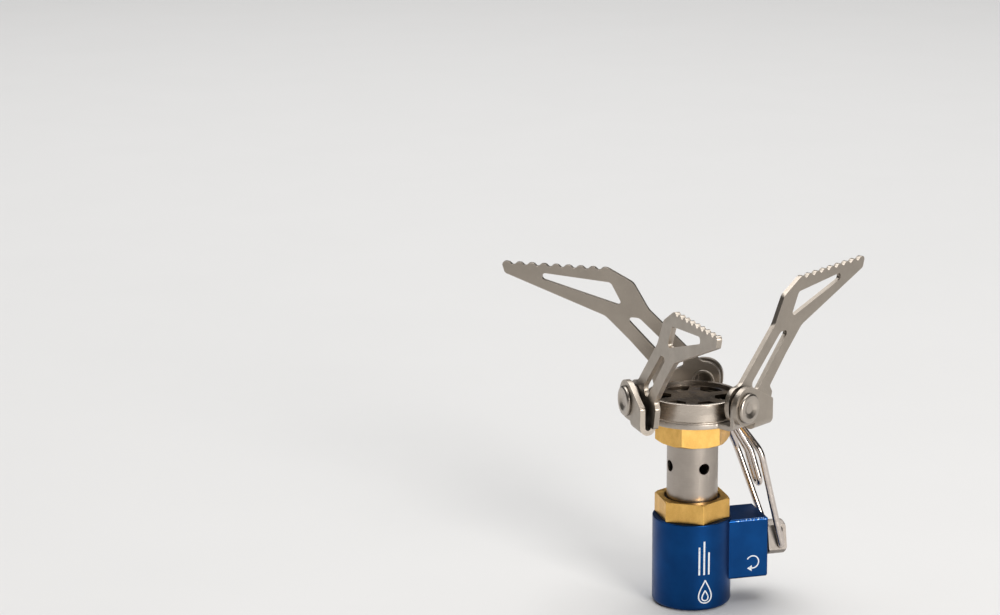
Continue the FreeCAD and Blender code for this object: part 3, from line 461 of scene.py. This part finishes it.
# ---- white printed marks -------------------------------------------------------------------------
# All in mm. The ink is a thin solid, partly sunk in the surface.
INK_SUNK, INK_PROUD, STROKE = 0.05, 0.02, 0.30
BODY_RADIUS = 9.5
BODY_MARKS = math.radians(268)
BOSS_SIDE = 5.75
ARROW_CENTRE, ARROW_RADIUS = (13.6, 9.9), 1.55
FLAME_MIDDLE = 0.6
RULE_FOOT, RULE_WIDTH, RULE_STEPS = 9.2, 0.42, 6
RULES = ((-0.9, 16.2), (0.3, 17.6), (1.5, 14.8))


def on_body(along, up, height):
    """A point on the turned body: along its girth from the side that faces -Y, up from the foot."""
    angle = BODY_MARKS + along / BODY_RADIUS
    out = BODY_RADIUS + height
    return (out * math.cos(angle) * MM, out * math.sin(angle) * MM, up * MM)


def on_boss(along, up, height):
    """A point on the boss's side that faces -Y."""
    return (along * MM, (-BOSS_SIDE - height) * MM, up * MM)


def printed(name, path, surface):
    """A stroke of ink through (along, up, width) points, laid on the surface."""
    sections = []
    for i, (along, up, width) in enumerate(path):
        before, after = path[max(i - 1, 0)], path[min(i + 1, len(path) - 1)]
        way = Vector((after[0] - before[0], after[1] - before[1])).normalized()
        side = Vector((-way.y, way.x)) * width / 2
        sections.append([
            surface(along + side.x, up + side.y, -INK_SUNK), surface(along + side.x, up + side.y, INK_PROUD),
            surface(along - side.x, up - side.y, INK_PROUD), surface(along - side.x, up - side.y, -INK_SUNK)])
    mesh = closed_strip(name, sections)
    mesh.materials.append(MATERIALS["print"])
    piece = bpy.data.objects.new(name, mesh)
    bpy.context.scene.collection.objects.link(piece)
    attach(piece, BODY_OF["valve_body"])


def arc_path(centre, radius, start, end, width, steps=28):
    """Points along an arc, angles in degrees."""
    path = []
    for k in range(steps + 1):
        angle = math.radians(start + (end - start) * k / steps)
        path.append((centre[0] + radius * math.cos(angle), centre[1] + radius * math.sin(angle), width))
    return path


def flame_path(centre, half_width, half_height, width, steps=40):
    """A drop with its point upwards, open by a hair at the point."""
    path = []
    for k in range(1, steps):
        turn_by = 2 * math.pi * k / steps
        swell = math.sin(turn_by / 2) ** 1.5
        path.append((
            centre[0] + half_width * math.sin(turn_by) * swell,
            centre[1] + half_height * math.cos(turn_by), width))
    return path


printed("mark_turn_arc", arc_path(ARROW_CENTRE, ARROW_RADIUS, 150, -100, STROKE), on_boss)
arrow_along, arrow_up = ARROW_CENTRE
head_base = (arrow_along - 0.20, arrow_up - ARROW_RADIUS, 1.5)
head_tip = (arrow_along - 1.35, arrow_up - 1.50, 0.04)
printed("mark_turn_head", [head_base, head_tip], on_boss)
printed("mark_flame_outer", flame_path((FLAME_MIDDLE, 5.0), 2.3, 2.9, STROKE), on_body)
printed("mark_flame_inner", flame_path((FLAME_MIDDLE, 4.0), 1.1, 1.3, STROKE), on_body)
for number, (along, top) in enumerate(RULES, start=1):
    heights = [RULE_FOOT + (top - RULE_FOOT) * k / RULE_STEPS for k in range(RULE_STEPS + 1)]
    printed("mark_rule_%d" % number, [(along, up, RULE_WIDTH) for up in heights], on_body)


# ---- floor, light and camera ---------------------------------------------------------------------
# The floor lies just under the foot, so that the two don't share a plane.
FLOOR_REACH, FLOOR_LEVEL = 6.0, -0.1 * MM
LIGHT_AIM = (0.0, 0.0, 0.04)
CAMERA_PLACE = (-0.19723, -0.57076, 0.22346)
CAMERA_RIGHT = (0.966715, -0.255743, -0.007552)
CAMERA_UP = (0.069039, 0.232320, 0.970186)
SENSOR_WIDTH, FOCAL_LENGTH = 36.0, 94.59


def floor():
    """A wide pale floor, very faintly mottled."""
    mesh = bpy.data.meshes.new("floor")
    reach, level = FLOOR_REACH, FLOOR_LEVEL
    corners = [(-reach, -reach, level), (reach, -reach, level), (reach, reach, level), (-reach, reach, level)]
    mesh.from_pydata(corners, [], [(0, 1, 2, 3)])
    plain = Shader("pale_floor", (0.70, 0.695, 0.69), metallic=0.0, roughness=0.7)
    tone = plain.blend(plain.noise((0.02, 0.02, 0.02), 3), (0.69, 0.686, 0.68), (0.71, 0.705, 0.70))
    plain.color(tone)
    mesh.materials.append(plain.material)
    obj = bpy.data.objects.new("floor", mesh)
    bpy.context.scene.collection.objects.link(obj)


def softbox(name, place, aim, size, power, tint=(1, 1, 1)):
    """A rectangular area light at place, turned towards aim."""
    lamp = bpy.data.lights.new(name, "AREA")
    lamp.shape = "RECTANGLE"
    lamp.size, lamp.size_y = size
    lamp.energy = power
    lamp.color = tint
    obj = bpy.data.objects.new(name, lamp)
    obj.location = place
    obj.rotation_euler = (Vector(aim) - Vector(place)).to_track_quat("-Z", "Y").to_euler()
    bpy.context.scene.collection.objects.link(obj)


floor()
softbox("key", (0.26, -0.97, 0.38), LIGHT_AIM, (0.40, 0.62), 10.0, (1.0, 0.975, 0.94))
softbox("overhead", (0.10, 0.60, 1.60), (0.0, 0.40, 0.0), (2.0, 2.0), 40.0)
bpy.context.scene.view_settings.view_transform = "Standard"
world = bpy.data.worlds.new("studio")
world.use_nodes = True
world.node_tree.nodes["Background"].inputs["Color"].default_value = (1.0, 0.985, 0.96, 1)
world.node_tree.nodes["Background"].inputs["Strength"].default_value = 0.04
bpy.context.scene.world = world

lens = bpy.data.cameras.new("camera")
lens.sensor_width = SENSOR_WIDTH
lens.lens = FOCAL_LENGTH
lens.clip_start, lens.clip_end = 0.01, 50.0
camera = bpy.data.objects.new("camera", lens)
right, up = Vector(CAMERA_RIGHT), Vector(CAMERA_UP)
away = right.cross(up)
turn = Matrix((right, up, away)).transposed().to_4x4()
camera.matrix_world = Matrix.Translation(CAMERA_PLACE) @ turn
bpy.context.scene.collection.objects.link(camera)
bpy.context.scene.camera = camera
